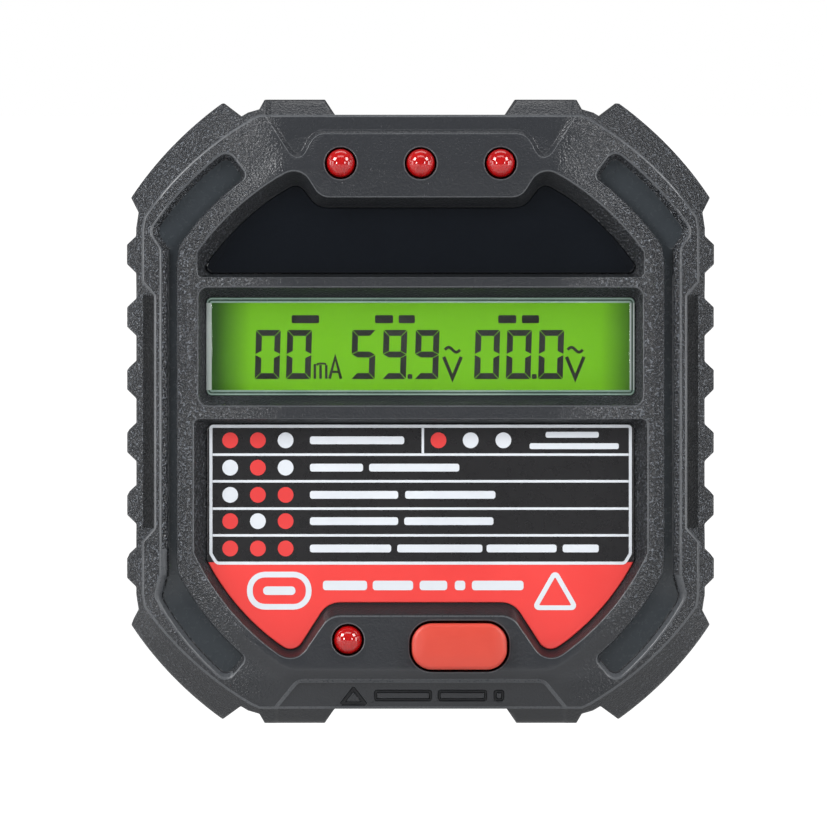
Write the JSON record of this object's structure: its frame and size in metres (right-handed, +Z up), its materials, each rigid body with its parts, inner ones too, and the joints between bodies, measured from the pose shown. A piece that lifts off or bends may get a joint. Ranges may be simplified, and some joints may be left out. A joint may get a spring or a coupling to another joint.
{
  "type": "outlet tester plug",
  "caption": "Plug-in mains outlet tester: chunky dark case with backlit display, indicator lamps, red test button and an earthed two-pin plug behind.",
  "frame": {"origin": "centre of the plug's engagement face, between the two pins", "axes": "+Y along the pins, into the socket outlet; the display faces -Y; +Z up with the display upright; +X to the display's right"},
  "size_m": [0.062, 0.0652, 0.0658],
  "materials": {
    "case": "fine spark-eroded texture",
    "plate": "smooth",
    "label": "printed film",
    "button": "fine satin",
    "lamp": "clear tinted",
    "window": "clear polished",
    "display": "backlit",
    "white_plastic": "satin",
    "zebra_rubber": "matt",
    "board": "solder mask",
    "black_epoxy": "matt",
    "nickel": "bright nickel plate",
    "steel": "zinc plated",
    "cement": "matt",
    "film_box": "smooth",
    "sleeve": "shrink sleeve",
    "resistor": "lacquered",
    "wire_brown": "satin",
    "wire_blue": "satin",
    "wire_earth": "satin",
    "rating_film": "silver film"
  },
  "bodies": {
    "case": {"front_shell": "case", "rear_shell": "case", "lcd_window": "window", "upper_plate": "plate", "legend_label": "label", "rating_label": "rating_film", "switch_body": "black_epoxy", "switch_cover": "steel", "switch_dome": "nickel", "button_spring": "steel", "lcd_front_glass": "display", "lcd_rear_glass": "display", "backlight_guide": "white_plastic", "backlight_led": "white_plastic", "zebra_strip": "zebra_rubber", "lcd_holder": "white_plastic", "main_pcb": "board", "controller_chip": "black_epoxy", "electrolytic_capacitor": "sleeve", "film_capacitor": "film_box", "fuse_resistor": "resistor", "rcd_load_resistor": "cement", "bridge_rectifier": "black_epoxy", "live_wire": "wire_brown", "neutral_wire": "wire_blue", "earth_wire": "wire_earth", "live_pin": "nickel", "neutral_pin": "nickel", "earth_strap": "nickel", "pin_carrier": "white_plastic", "carrier_screw_1": "steel", "carrier_screw_2": "steel", "led_left": "lamp", "led_left_lead_a": "steel", "led_left_lead_b": "steel", "led_centre": "lamp", "led_centre_lead_a": "steel", "led_centre_lead_b": "steel", "led_right": "lamp", "led_right_lead_a": "steel", "led_right_lead_b": "steel", "led_lower": "lamp", "led_lower_lead_a": "steel", "led_lower_lead_b": "steel", "case_screw_1": "steel", "pcb_screw_1": "steel", "case_screw_2": "steel", "pcb_screw_2": "steel", "case_screw_3": "steel", "pcb_screw_3": "steel", "case_screw_4": "steel", "pcb_screw_4": "steel"},
    "button": {"test_button": "button", "switch_plunger": "black_epoxy"}
  },
  "joints": [
    {"name": "test_press", "type": "slide", "parent": "case", "child": "button", "axis": [0, 1, 0], "range_m": [0, 0.0012], "stiffness_N_per_m": 900, "springref_m": -0.0008, "deforming": ["button_spring"]}
  ]
}
